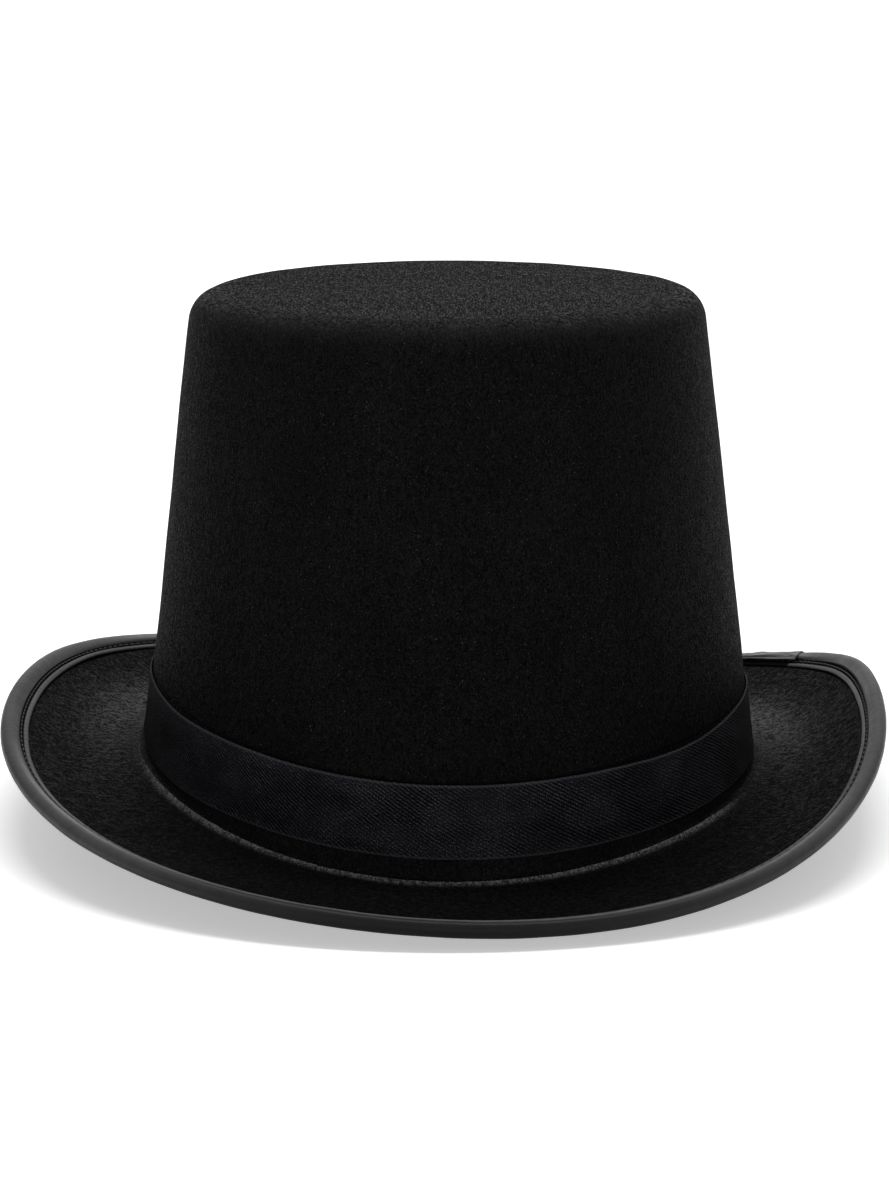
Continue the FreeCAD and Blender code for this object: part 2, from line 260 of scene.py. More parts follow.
def make_piece(name, points, faces, material, stands_for, attributes, sharp):
    """A closed mesh from points in millimetres, placed, painted and riding on the hat."""
    if volume(points, faces) < 0:
        faces = faces[:, ::-1]
    # A four-sided face that names a point twice is a triangle.
    corners = [f[:3] if f[3] == f[2] else f for f in faces.tolist()]
    corners = [f[1:] if len(f) == 4 and f[0] == f[1] else f for f in corners]
    mesh = bpy.data.meshes.new(name)
    mesh.from_pydata(points * MM, [], corners)
    mesh.polygons.foreach_set("use_smooth", np.ones(len(mesh.polygons), bool))
    mesh.set_sharp_from_angle(angle=math.radians(sharp))
    for key, values in attributes.items():
        values = np.asarray(values, np.float32)
        kind = "FLOAT_VECTOR" if values.ndim == 2 else "FLOAT"
        layer = mesh.attributes.new(key, kind, "POINT")
        layer.data.foreach_set("vector" if values.ndim == 2 else "value", values.ravel())
    mesh.materials.append(material)
    piece = bpy.data.objects.new(name, mesh)
    bpy.context.scene.collection.objects.link(piece)
    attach(piece, "root")
    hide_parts(stands_for)
    return piece


def disc_grid(side):
    """Radius and angle of a square grid's nodes bent into a disc, and its faces."""
    line = np.linspace(-1.0, 1.0, side + 1)
    a, b = np.meshgrid(line, line, indexing="ij")
    radius = np.maximum(abs(a), abs(b))
    wide = abs(a) >= abs(b)
    with np.errstate(divide="ignore", invalid="ignore"):
        by_a = math.pi / 4 * b / a + np.where(a < 0, math.pi, 0.0)
        by_b = math.pi / 2 - math.pi / 4 * a / b + np.where(b < 0, math.pi, 0.0)
    angle = np.nan_to_num(np.where(wide, by_a, by_b)) % TURN
    return radius.ravel(), angle.ravel(), grid_faces(side + 1, side + 1)


def disc_on_ring(side, ring_points, first_new, ring_first):
    """A disc that shares a ring's points: its new points, radii, and faces.

    ring_points are the ring's 4 * side points, numbered on from ring_first.
    """
    radius, angle, faces = disc_grid(side)
    columns = 4 * side
    place_on_ring = angle / TURN * columns
    low = np.floor(place_on_ring).astype(int) % columns
    share = (place_on_ring - np.floor(place_on_ring))[:, None]
    on_edge = radius > 1.0 - 1e-9
    rim = ring_points[low] * (1 - share) + ring_points[(low + 1) % columns] * share
    centre = ring_points.mean(0)
    points = centre + (rim - centre) * radius[:, None]
    number = np.zeros(len(radius), int)
    number[on_edge] = ring_first + np.round(place_on_ring[on_edge]).astype(int) % columns
    number[~on_edge] = first_new + np.arange((~on_edge).sum())
    return points[~on_edge], radius[~on_edge], number[faces]


def strip_piece(name, points, material, stands_for, attributes, sharp):
    """A closed strip from points[station, section], whose section runs out along one
    face and back along the other."""
    stations, around = points.shape[:2]
    faces = [grid_faces(stations, around, close_columns=True)]
    half = around // 2
    k = np.arange(half - 1)
    cap = np.stack([k, k + 1, around - 2 - k, around - 1 - k], -1)
    faces += [cap[:, ::-1], cap + (stations - 1) * around]
    flat = {key: values.reshape(-1, 3) if values.ndim == 3 else values.ravel()
            for key, values in attributes.items()}
    return make_piece(name, points.reshape(-1, 3), np.concatenate(faces), material,
                      stands_for, flat, sharp)


def both_faces(outer, inner=None):
    """A closed section: out along one face and back along the other."""
    inner = outer if inner is None else inner
    return np.concatenate([outer, inner[:, ::-1]], axis=1)


def cloth_coordinates(along, across):
    """Place on the cloth, for both faces of a strip."""
    along, across = np.broadcast_arrays(along, across)
    return both_faces(np.stack([along, across, np.zeros(along.shape)], -1))


def stitch_row(count, point_at):
    """Starts, ends and upward directions of a row of stitches once round the hat."""
    middle = (np.arange(count) + 0.5) / count
    span = STITCH_FILL / 2 / count
    phi = TURN * middle
    starts, ends = (place(turned, *point_at(turned, 0.0))
                    for turned in (TURN * (middle - span), TURN * (middle + span)))
    return starts, ends, place(phi, *point_at(phi, 1.0)) - place(phi, *point_at(phi, 0.0))


def thread_piece(name, starts, ends, ups, material, stands_for):
    """Stitches of thread that rise a little in the middle and dip in at both ends."""
    along = ends - starts
    length = np.linalg.norm(along, axis=1, keepdims=True)
    along = along / length
    side = np.cross(along, ups)
    side /= np.linalg.norm(side, axis=1, keepdims=True)
    up = np.cross(side, along)
    shares = np.array([0.0, 0.05, 0.16, 0.36, 0.64, 0.84, 0.95, 1.0])
    widths = np.array([0.35, 0.72, 0.95, 1.0, 1.0, 0.95, 0.72, 0.35]) * THREAD_RADIUS
    dips = -0.42 * abs(2 * shares - 1) ** 3 + 0.06
    turns = TURN * np.arange(8) / 8
    middle = starts[:, None] + along[:, None] * (shares * length)[:, :, None]
    middle = middle + up[:, None] * dips[None, :, None]
    circle = (side[:, None, None] * np.cos(turns)[None, None, :, None]
              + up[:, None, None] * np.sin(turns)[None, None, :, None])
    tube = middle[:, :, None] + circle * widths[None, :, None, None]
    count, rows, columns = tube.shape[:3]
    points = np.concatenate([tube.reshape(count, -1, 3), middle[:, :1], middle[:, -1:]], 1)
    each = [grid_faces(rows, columns, close_columns=True)]
    j = np.arange(columns)
    last = (rows - 1) * columns
    pole = rows * columns
    right = (j + 1) % columns
    each.append(np.stack([right, j, np.full(columns, pole), np.full(columns, pole)], -1))
    tail = np.full(columns, pole + 1)
    each.append(np.stack([last + j, last + right, tail, tail], -1))
    each = np.concatenate(each)
    step = points.shape[1]
    faces = (each[None] + step * np.arange(count)[:, None, None]).reshape(-1, 4)
    run = np.broadcast_to(shares * length, (count, rows))[:, :, None]
    wrap = np.broadcast_to(turns * THREAD_RADIUS, (count, rows, columns))
    grid = np.stack(np.broadcast_arrays(run, wrap, 0.0 * wrap), -1).reshape(count, -1, 3)
    poles = np.zeros((count, 2, 3))
    cloth = np.concatenate([grid, poles], 1).reshape(-1, 3)
    return make_piece(name, points.reshape(-1, 3), faces, material, stands_for,
                      {"cloth": cloth}, 80.0)


# ---- materials ----

class Recipe:
    """Builds the nodes of one material."""

    def __init__(self, name):
        self.material = bpy.data.materials.new(name)
        self.material.use_nodes = True
        self.tree = self.material.node_tree
        self.tree.nodes.clear()

    def add(self, kind, inputs, output=0, **settings):
        node = self.tree.nodes.new("ShaderNode" + kind)
        for key, value in settings.items():
            setattr(node, key, value)
        for key, value in inputs.items():
            if isinstance(value, bpy.types.NodeSocket):
                self.tree.links.new(value, node.inputs[key])
            else:
                node.inputs[key].default_value = value
        return node.outputs[output]

    def attribute(self, name):
        return self.add("Attribute", {}, "Vector", attribute_name=name)

    def value(self, name):
        return self.add("Attribute", {}, "Fac", attribute_name=name)

    def parts(self, vector):
        node = self.add("SeparateXYZ", {"Vector": vector}).node
        return node.outputs[0], node.outputs[1], node.outputs[2]

    def math(self, operation, a, b=0.0, c=0.0):
        return self.add("Math", {0: a, 1: b, 2: c}, operation=operation)

    def scaled(self, vector, factors):
        return self.add("VectorMath", {0: vector, 1: factors}, operation="MULTIPLY")

    def added(self, a, b):
        return self.add("VectorMath", {0: a, 1: b}, operation="ADD")

    def times(self, vector, factor):
        return self.add("VectorMath", {0: vector, "Scale": factor}, operation="SCALE")

    def product(self, a, b):
        return self.math("MULTIPLY", a, b)

    def weighted(self, a, weight, b):
        return self.math("MULTIPLY_ADD", a, weight, b)

    def sine(self, value, period):
        return self.math("SINE", self.product(value, TURN / period))

    def noise(self, vector, factors, detail=2.0, roughness=0.55, output="Fac"):
        inputs = {"Vector": self.scaled(vector, factors), "Scale": 1.0,
                  "Detail": detail, "Roughness": roughness}
        return self.add("TexNoise", inputs, output)

    def ranged(self, value, low, high, to_low, to_high):
        inputs = {"Value": value, "From Min": low, "From Max": high,
                  "To Min": to_low, "To Max": to_high}
        return self.add("MapRange", inputs)

    def mixed(self, factor, a, b):
        return self.add("Mix", {0: factor, 6: a, 7: b}, 2, data_type="RGBA")

    def blend(self, factor, a, b):
        return self.add("Mix", {0: factor, 2: a, 3: b}, 0, data_type="FLOAT")

    def bump(self, height, distance):
        return self.add("Bump", {"Height": height, "Distance": distance, "Strength": 1.0})

    # Painted light and shade: the colour scaled by a factor stored at each point.
    def toned(self, colour):
        return self.times(colour, self.value("tone"))

    def surface(self, inputs):
        shader = self.add("BsdfPrincipled", inputs)
        output = self.tree.nodes.new("ShaderNodeOutputMaterial")
        self.tree.links.new(shader, output.inputs["Surface"])
        return self.material

    def cloth(self, colour, roughness, height, depth, specular, sheen=(0.0, 0.5)):
        """A cloth's surface, with a weave of this height and depth and a weak sheen."""
        return self.surface({
            "Base Color": colour, "Roughness": roughness, "Specular IOR Level": specular,
            "Sheen Weight": sheen[0], "Sheen Roughness": sheen[1],
            "Normal": self.bump(height, depth)})


def grey(value, tint=(1.0, 1.0, 1.0)):
    return (value * tint[0], value * tint[1], value * tint[2], 1.0)


def felt_material():
    """Brushed felt: a nap laid down the crown, back over the tip and out over the brim."""
    r = Recipe("fur_felt")
    nap = r.attribute("nap")
    brim = r.value("brim")
    tip = r.value("tip")
    worn = r.value("worn")
    shade = r.value("shade")
    drift = r.noise(nap, (0.13, 0.13, 0.13), 1.0, 0.5, "Color")
    drift = r.added(drift, (-0.5, -0.5, -0.5))
    drift = r.times(drift, r.ranged(brim, 0.0, 1.0, 1.2, 3.0))
    laid = r.added(nap, r.scaled(drift, (1.0, 1.0, 0.5)))
    side_fine = r.noise(laid, (2.2, 2.2, 1.7), 2.0, 0.7)
    side_tuft = r.noise(laid, (0.85, 0.85, 0.45), 2.0, 0.6)
    brim_fine = r.noise(laid, (1.7, 1.7, 1.4), 3.0, 0.75)
    brim_tuft = r.noise(laid, (0.80, 0.80, 0.50), 2.0, 0.6)
    tip_fine = r.noise(laid, (1.6, 0.21, 1.0), 2.0, 0.7)
    tip_tuft = r.noise(laid, (0.50, 0.08, 1.0), 2.0, 0.6)
    fine = r.blend(tip, r.blend(brim, side_fine, brim_fine), tip_fine)
    tuft = r.blend(tip, r.blend(brim, side_tuft, brim_tuft), tip_tuft)
    mottle = r.noise(nap, (0.045, 0.045, 0.03), 3.0, 0.55)
    deep = r.ranged(tip, 0.0, 1.0, r.ranged(brim, 0.0, 1.0, 0.40, 1.0), 1.6)
    grain = r.ranged(tip, 0.0, 1.0, r.ranged(brim, 0.0, 1.0, 0.60, 1.1), 1.4)
    height = r.weighted(tuft, deep, r.product(fine, grain))
    share = r.ranged(brim, 0.0, 1.0, 0.30, 0.6)
    mix = r.weighted(r.math("SUBTRACT", tuft, 0.5), share, fine)
    pale = r.ranged(mix, 0.34, 0.72, 0.0, 1.0)
    pale = r.product(pale, r.ranged(mottle, 0.3, 0.7, 0.6, 1.0))
    colour = r.mixed(pale, grey(0.0012, (1.0, 1.0, 1.04)), grey(0.0108, (1.0, 0.99, 0.99)))
    # Painted light and shade: paler at the tip's edge, below the ribbon, in the crease and at the
    # crown's foot; darker at the crown's sides, on the brim's quarters and at the right.
    colour = r.toned(colour)
    # Pale lint along the brim's raised line, partly wear and partly a painted highlight, strongest
    # at the front and back.
    lint_and_highlight = r.product(worn, r.ranged(mix, 0.42, 0.62, 0.08, 1.0))
    colour = r.mixed(lint_and_highlight, colour, grey(0.19, (1.0, 0.98, 0.96)))
    dust = r.ranged(r.noise(nap, (2.1, 2.1, 2.1), 1.0), 0.71, 0.78, 0.0, 0.8)
    colour = r.mixed(dust, colour, grey(0.07, (1.0, 0.98, 0.96)))
    # Painted highlights: pale sheen patches on the brim next to the crown at both sides.
    rubbed = r.product(r.value("rubbed"), r.ranged(mix, 0.36, 0.64, 0.0, 1.0))
    colour = r.mixed(rubbed, colour, grey(0.085, (1.0, 0.99, 0.98)))
    colour = r.mixed(shade, colour, grey(0.0003))
    roughness = r.math("MAXIMUM", r.ranged(mix, 0.41, 0.63, 1.0, 0.45), shade)
    return r.cloth(colour, roughness, height, 0.00035, 0.022, (0.003, 0.5))


def ribbon_material():
    """Twilled ribbon with a firm selvedge."""
    r = Recipe("twill_ribbon")
    cloth = r.attribute("cloth")
    selvedge = r.value("selvedge")
    along, across, _ = r.parts(cloth)
    line = r.weighted(across, math.cos(TWILL_LEAN), r.product(along, math.sin(TWILL_LEAN)))
    slip = r.noise(cloth, (0.25, 0.25, 0.25))
    line = r.weighted(slip, 0.35, line)
    twill = r.sine(line, TWILL_PITCH)
    picks = r.sine(along, 0.42)
    yarn = r.noise(cloth, (2.5, 2.5, 2.5), 2.0, 0.65)
    rib = r.weighted(twill, 0.5, r.product(picks, 0.10))
    rib = r.weighted(yarn, 0.7, rib)
    patch = r.noise(cloth, (0.06, 0.1, 0.1))
    pale = r.product(r.ranged(yarn, 0.46, 0.65, 0.0, 1.0),
                     r.ranged(patch, 0.35, 0.65, 0.5, 1.1))
    blue = (0.97, 0.965, 1.14)
    colour = r.mixed(pale, grey(0.0050, blue), grey(0.0840, blue))
    sunk = r.noise(cloth, (0.05, 0.12, 0.1))
    sunk = r.product(r.ranged(twill, 0.6, -0.3, 1.0, 0.0),
                     r.ranged(sunk, 0.4, 0.6, 0.5, 1.0))
    colour = r.mixed(sunk, colour, grey(0.0006, blue))
    dashes = r.product(selvedge, r.ranged(picks, -0.6, 0.8, 0.2, 0.9))
    colour = r.mixed(dashes, colour, grey(0.075, blue))
    # Painted light and shade: paler at the front and back, darker at the sides.
    colour = r.toned(colour)
    roughness = r.ranged(rib, -0.3, 0.9, 0.75, 0.55)
    return r.cloth(colour, roughness, rib, 0.00014, 0.03, (0.002, 0.4))


def binding_material():
    """Satin tape, its fine yarns running across the edge."""
    r = Recipe("satin_binding")
    cloth = r.attribute("cloth")
    painted_shade = r.value("painted_shade")
    yarn = r.noise(cloth, (3.4, 0.45, 1.0))
    crush = r.noise(cloth, (0.30, 0.16, 1.0), 3.0, 0.6)
    patch = r.noise(cloth, (0.035, 0.2, 1.0), 3.0, 0.6)
    height = r.weighted(yarn, 0.25, crush)
    pale = r.ranged(r.weighted(yarn, 0.5, patch), 0.45, 1.0, 0.0, 1.0)
    colour = r.mixed(pale, grey(0.0125, (1.0, 0.98, 1.03)), grey(0.021, (1.0, 0.98, 1.02)))
    # Painted highlights on the lip, along the top of the bead at the front and back, and on the
    # bead's quarters, on its upper side only.
    rubbed = r.product(r.value("rubbed"), r.ranged(crush, 0.3, 0.7, 0.7, 1.0))
    colour = r.mixed(rubbed, colour, grey(0.24, (1.0, 0.98, 0.99)))
    # Painted shade: near black in the groove, under the lap, beneath the bead and in the lap's
    # creases.
    colour = r.mixed(painted_shade, colour, grey(0.0006))
    roughness = r.math("MAXIMUM", r.ranged(patch, 0.3, 0.7, 0.40, 0.32), painted_shade)
    return r.cloth(colour, roughness, height, 0.00016, 0.062, (0.004, 0.35))


def thread_material():
    r = Recipe("sewing_thread")
    cloth = r.attribute("cloth")
    along, wrap, _ = r.parts(cloth)
    ply = r.math("SINE", r.weighted(along, TURN / 0.55, r.product(wrap, 8.0)))
    fuzz = r.noise(cloth, (6.0, 6.0, 6.0))
    height = r.weighted(ply, 0.5, fuzz)
    colour = r.mixed(r.ranged(height, 0.0, 1.0, 0.0, 1.0), grey(0.006), grey(0.02))
    return r.cloth(colour, r.ranged(fuzz, 0.3, 0.7, 0.6, 0.45), height, 0.00005, 0.4)


def grosgrain_material():
    """Ribbed sweatband ribbon, its ribs running up and down."""
    r = Recipe("grosgrain_sweatband")
    cloth = r.attribute("cloth")
    along, _, _ = r.parts(cloth)
    yarn = r.noise(cloth, (2.5, 1.0, 1.0))
    rib = r.sine(along, 1.3)
    height = r.weighted(rib, 0.5, r.product(yarn, 0.4))
    patch = r.noise(cloth, (0.05, 0.12, 1.0), 3.0)
    pale = r.product(r.ranged(height, -0.2, 0.8, 0.1, 1.0), r.ranged(patch, 0.3, 0.7, 0.6, 1.1))
    colour = r.mixed(pale, grey(0.004), grey(0.013, (1.0, 0.97, 0.95)))
    roughness = r.ranged(height, -0.3, 0.8, 0.75, 0.58)
    return r.cloth(colour, roughness, height, 0.00018, 0.3, (0.03, 0.4))


def lining_material():
    """Black satin lining."""
    r = Recipe("satin_lining")
    cloth = r.attribute("cloth")
    yarn = r.noise(cloth, (0.7, 0.7, 4.0))
    crush = r.noise(cloth, (0.10, 0.10, 0.05), 3.0)
    pale = r.ranged(r.weighted(yarn, 0.5, crush), 0.5, 1.0, 0.0, 1.0)
    violet = (1.0, 0.98, 1.06)
    colour = r.mixed(pale, grey(0.006, violet), grey(0.014, violet))
    roughness = r.ranged(crush, 0.3, 0.7, 0.42, 0.33)
    return r.cloth(colour, roughness, r.weighted(yarn, 0.15, crush), 0.0002, 0.5)


def label_material():
    """Blank woven label in pale grey."""
    r = Recipe("woven_label")
    cloth = r.attribute("cloth")
    along, across, _ = r.parts(cloth)
    weave = r.weighted(r.product(r.sine(along, 0.5), r.sine(across, 0.36)), 0.5, 0.5)
    patch = r.noise(cloth, (0.2, 0.2, 1.0), 3.0)
    pale = r.product(weave, r.ranged(patch, 0.3, 0.7, 0.6, 1.0))
    warm = (1.0, 0.98, 0.94)
    colour = r.mixed(pale, grey(0.30, warm), grey(0.48, warm))
    return r.cloth(colour, r.ranged(patch, 0.3, 0.7, 0.65, 0.5), weave, 0.00006, 0.3)


def steel_material():
    r = Recipe("tinned_steel")
    spot = r.add("TexCoord", {}, "Object")
    drawn = r.noise(spot, (900.0, 900.0, 900.0), 3.0)
    tarnish = r.noise(spot, (90.0, 90.0, 90.0), 3.0)
    dull = r.ranged(tarnish, 0.4, 0.7, 0.0, 1.0)
    colour = r.mixed(dull, grey(0.42), grey(0.22, (1.0, 0.93, 0.85)))
    return r.surface({
        "Base Color": colour, "Metallic": 1.0, "Roughness": r.ranged(tarnish, 0.3, 0.7, 0.28, 0.5),
        "Normal": r.bump(drawn, 0.00002)})


# ---- felt crown and brim ----

PLAIN_FELT = {"brim": 0.0, "worn": 0.0, "tone": 1.0, "shade": 0.0, "rubbed": 0.0, "tip": 0.0}
INNER_BRIM_ROWS = 15


def felt_rings(phi, edge):
    """The outer rings, from the tip down the crown and out over the brim.

    Each has a way to place it, how far the felt wanders there, how far it stands up from
    its true shape, and its paint.
    """
    rings = []

    def ring(point_at, loose=0.0, raised=0.0, **paint):
        rings.append((point_at, loose, raised, dict(PLAIN_FELT, **paint)))

    # The tip's rounded edge is painted paler: a painted highlight.
    for k, angle in enumerate(np.linspace(math.pi / 2, TAPER, 13)):
        ring(lambda o, a=angle: tip_point(a, o), 0.8, tone=1.0 + 2.6 * hump(k, 4.5, 4.0),
             tip=smooth_step(3.0, 9.0, 13.0 - k))

    wall_top = tip_point(TAPER, 0.0)[1]
    wall_foot = crease_point(phi, TAPER, 0.0)[1]
    band_top = band_z(phi) + BAND_WIDTH
    above = [2.0, 1.3, 0.9, 0.6, 0.35, 0.1, -0.4]
    levels = [wall_top + (band_top + above[0] - wall_top) * s
              for s in np.linspace(0.0, 1.0, 38)[1:-1]]
    levels += [band_top + a for a in above]
    levels += [band_top + above[-1] + (wall_foot - band_top - above[-1]) * s
               for s in np.linspace(0.0, 1.0, 9)[1:-1]]
    # Painted light below the ribbon, painted shade at the crown's sides, and a painted shadow along
    # the ribbon's top edge.
    for z in levels:
        ring(lambda o, z=z: wall_point(z, o), 0.9 * smooth_step(2.0, 12.0, z - band_top),
             tone=1.0 + 0.8 * (z < band_top - 1.0) - 0.38 * abs(np.cos(phi)) ** 3,
             shade=0.75 * hump(z - band_top, 0.1, 0.55))
    # The crease is painted paler: painted light.
    for angle in np.linspace(TAPER, CREASE_TURN, 9):
        ring(lambda o, a=angle: crease_point(phi, a, o), tone=1.8)

    # A raised line runs round the brim, painted pale where it stands up most: partly lint and wear,
    # partly a painted highlight.
    # Painted highlights lie on the brim at both sides, and painted shade on the quarters and at the
    # right.
    fold = folded(phi)
    welt = 0.7 + 1.9 * near(fold, 270.0, 0.45)
    seen = between(fold, 192.0, 216.0, 324.0, 338.0)
    fray = 0.5 + 0.5 * round_waves(phi, 3.0, 3)
    past = (phi + 1.0) % TURN - 1.0
    # Painted highlight patches on the brim at both sides, next to the crown.
    rubbed = near(phi, 164.0, 0.5) + 1.2 * near(past, 24.0, 0.40)
    quarter_shade = 0.48 * near(fold, 306.0, 0.6) + 0.10 * near(fold, 250.0, 0.6)
    quarter_shade = quarter_shade * off_side(phi) + 0.40 * near(past, -14.0, 0.35)
    close = np.arange(0.3, 5.0, 0.3)
    lip = np.array([5.6, 5.2, 4.9, 4.6, 4.3, 4.0, 3.6, 3.0, 1.5, 0.0])
    distances = [0.0 * phi + d for d in close]
    distances += [close[-1] + (edge - lip[0] - close[-1]) * s
                  for s in np.linspace(0.0, 1.0, 22)[1:-1]]
    distances += [edge - d for d in lip]
    for d in distances:
        raised = (0.3 + 0.7 * seen) * (0.75 + 0.3 * fray) * hump(d, welt, 0.9)
        ring(lambda o, d=d: brim_point(phi, d, o),
             0.55 * smooth_step(3.0, 12.0, d) * smooth_step(5.0, 12.0, edge - d),
             raised - 0.3 * hump(edge - d, 4.45, 0.4),
             brim=smooth_step(1.0, 6.0, d), worn=seen * hump(d, welt, 1.1),
             tone=1.8 - 0.8 * smooth_step(1.0, 4.0, d) - quarter_shade * smooth_step(2.0, 8.0, d),
             shade=hump(edge - d, 4.25, 0.45), rubbed=hump(d, 9.0, 11.0) * rubbed)
    return rings


def felt_inside(phi, edge):
    """The inner rings, from the brim's edge in under it and up the crown."""
    wall_top = tip_point(TAPER, 0.0)[1]
    wall_foot = crease_point(phi, TAPER, 0.0)[1]
    rings = [brim_point(phi, edge * s, -FELT_THICKNESS)
             for s in np.linspace(1.0, 0.0, INNER_BRIM_ROWS)]
    rings += [crease_point(phi, a, -FELT_THICKNESS)
              for a in np.linspace(CREASE_TURN, TAPER, 9)[1:]]
    rings += [wall_point(wall_foot + (wall_top - wall_foot) * s, -FELT_THICKNESS)
              for s in np.linspace(0.0, 1.0, 14)[1:-1]]
    rings += [tip_point(a, -FELT_THICKNESS) for a in np.linspace(TAPER, math.pi / 2, 8)]
    return np.array([place(phi, h, z) for h, z in rings])


def roof_in_ring(ring, ring_first, first_new):
    """A flat fan of rings inside a ring: its new points and faces."""
    shares = (0.75, 0.5, 0.25, 0.08)
    columns = len(ring)
    spread = len(shares) * columns
    centre = ring.mean(0)
    rounds = np.array([centre + (ring - centre) * share for share in shares])
    ids = np.concatenate([np.arange(columns)[None] + ring_first,
                          first_new + np.arange(spread).reshape(-1, columns)])
    right = np.roll(ids, -1, axis=1)
    faces = np.stack([ids[:-1], right[:-1], right[1:], ids[1:]], -1).reshape(-1, 4)
    pole = np.full(columns, first_new + spread)
    fan = np.stack([ids[-1], right[-1], pole, pole], -1)
    return np.concatenate([rounds.reshape(-1, 3), centre[None]]), np.concatenate([faces, fan])


def make_felt(material):
    side = 120
    columns = 4 * side
    phi = TURN * np.arange(columns) / columns
    edge = brim_width(phi) - FELT_EDGE
    rings = felt_rings(phi, edge)
    outer = []
    for point_at, loose, raised, _ in rings:
        still = place(phi, *point_at(0.0 * phi))
        outer.append(place(phi, *point_at(felt_waves(still) * loose + raised)))
    inner = felt_inside(phi, edge)
    stack = np.concatenate([outer, inner])
    rows = len(stack)

    # The tip's outside is a waved disc, and its inside, which the lining hides, is flat.
    count = rows * columns
    tip, radius, tip_faces = disc_on_ring(side, outer[0], count, 0)
    tip[:, 2] = CROWN_TOP + FLOOR_LIFT + felt_waves(tip) * (0.8 + 0.2 * (1.0 - radius))
    roof, roof_faces = roof_in_ring(inner[-1], count - columns, count + len(tip))
    points = np.concatenate([stack.reshape(-1, 3), tip, roof])
    faces = np.concatenate([grid_faces(rows, columns, close_columns=True), tip_faces, roof_faces])

    # The nap's place on the felt: round the hat and down it, or across the tip.
    steps = np.linalg.norm(np.diff(stack, axis=0), axis=2)
    run = np.concatenate([np.zeros((1, columns)), np.cumsum(steps, axis=0)])
    nap = [MEAN_RADIUS * np.cos(phi), MEAN_RADIUS * np.sin(phi), run]
    naps = [np.stack(np.broadcast_arrays(*nap), -1).reshape(-1, 3)]
    half = abs(outer[0] - outer[0].mean(0)).max(0)
    for disc in (tip, roof):
        flat = (disc - disc.mean(0)) / np.array([half[0], half[1], 1.0]) * MEAN_RADIUS
        flat[:, 2] = 0.0
        naps.append(flat)
    attributes = {"nap": np.concatenate(naps)}

    paints = [paint for _, _, _, paint in rings]
    paints += [dict(PLAIN_FELT, brim=float(k < INNER_BRIM_ROWS)) for k in range(len(inner))]
    for key in PLAIN_FELT:
        values = [np.broadcast_to(paint[key], columns) for paint in paints]
        on_tip = 1.0 if key == "tip" else PLAIN_FELT[key]
        attributes[key] = np.concatenate(values + [np.full(len(tip) + len(roof), on_tip)])
    return make_piece("felt_crown_and_brim", points, faces, material, "felt_body",
                      attributes, 75.0)


# ---- ribbon, sweatband and their laps ----

def lap_stations(join, overlap, spacing):
    """Angles along a strip that goes once round and laps, and where it is raised."""
    once = TURN * MEAN_RADIUS
    length = (TURN + overlap / MEAN_RADIUS) * MEAN_RADIUS
    along = np.linspace(0.0, length, int(length / spacing))
    close = length - overlap - LAP_RISE
    along = np.concatenate([along[along < close], np.arange(close, length, spacing / 2), [length]])
    along = along[:, None]
    return join + along / MEAN_RADIUS, along, smooth_step(once - LAP_RISE, once, along)


def band_section(width, thickness):
    """Points across a ribbon with rounded edges: their distance across, the heights of
    its two faces, and the distance from the nearer edge."""
    bevel = np.array([0.0, 0.12, 0.35, 0.8, 1.5, 2.6])
    middle = np.linspace(4.0, width - 4.0, 9)
    across = np.concatenate([bevel, middle, width - bevel[::-1]])
    from_edge = np.minimum(across, width - across)
    full = np.sqrt(np.clip(from_edge / 0.4, 0.0, 1.0))
    selvedge = hump(from_edge, 0.55, 0.4)
    outer = thickness * (0.35 + 0.65 * full) + 0.10 * selvedge
    inner = thickness * 0.35 * (1.0 - full)
    return across, outer, inner, from_edge


def make_ribbon(material):
    phi, along, raised = lap_stations(BAND_JOIN, BAND_OVERLAP, 0.8)
    across, outer, inner, from_edge = band_section(BAND_WIDTH, BAND_THICKNESS)
    low = 0.16 + 0.30 * round_waves(phi, 34.0, 5) + 0.10 * round_waves(phi, 9.0, 6)
    high = 0.06 + 0.18 * round_waves(phi, 40.0, 7)
    stand = (np.clip(low, 0.0, 0.6) * np.exp(-across / 3.5)
             + np.clip(high, 0.0, 0.5) * np.exp(-(BAND_WIDTH - across) / 3.0))
    ripple = 0.05 * (1.0 + round_waves(phi, 12.0, 8, across * 0.6))
    lift = BAND_CLEARANCE + BAND_LIFT * raised + stand + ripple
    ragged = 0.10 * round_waves(phi, 7.0, 9)
    low_left = -0.9 * near(phi % TURN, 214.0, 0.25)
    dip_right = -1.2 * near(phi % TURN, 322.0, 0.25) * (across / BAND_WIDTH) ** 2
    tilt = across + ragged + low_left + dip_right
    z = band_z(phi) + tilt * math.cos(TAPER)
    points = both_faces(*on_wall(phi, z, lift + outer, lift + inner))
    cloth = cloth_coordinates(along, across)
    edge = hump(from_edge, 0.30, 0.28)
    # Painted light and shade: paler at the front and back, darker at the sides.
    tone = 0.66 + 0.34 * abs(np.sin(phi)) ** 1.5
    edge, tone = (both_faces(values) for values in np.broadcast_arrays(edge, tone))
    return strip_piece("crown_ribbon", points, material, "hatband",
                       {"cloth": cloth, "selvedge": edge, "tone": tone}, 80.0)


def make_ribbon_tacks(material):
    phi = BAND_JOIN + (BAND_OVERLAP - 1.6) / MEAN_RADIUS
    z = band_z(phi) + BAND_WIDTH * (np.arange(BAND_TACKS) + 0.5) / BAND_TACKS
    offset = BAND_CLEARANCE + BAND_LIFT + BAND_THICKNESS + 0.26
    lows = on_wall(phi, z - 0.9, offset)[0]
    highs = on_wall(phi, z + 0.9, offset)[0]
    middle, above = on_wall(phi, z, offset, offset + 1.0)
    return thread_piece("ribbon_tack_stitches", lows, highs, above - middle, material,
                        "hatband_tacks")


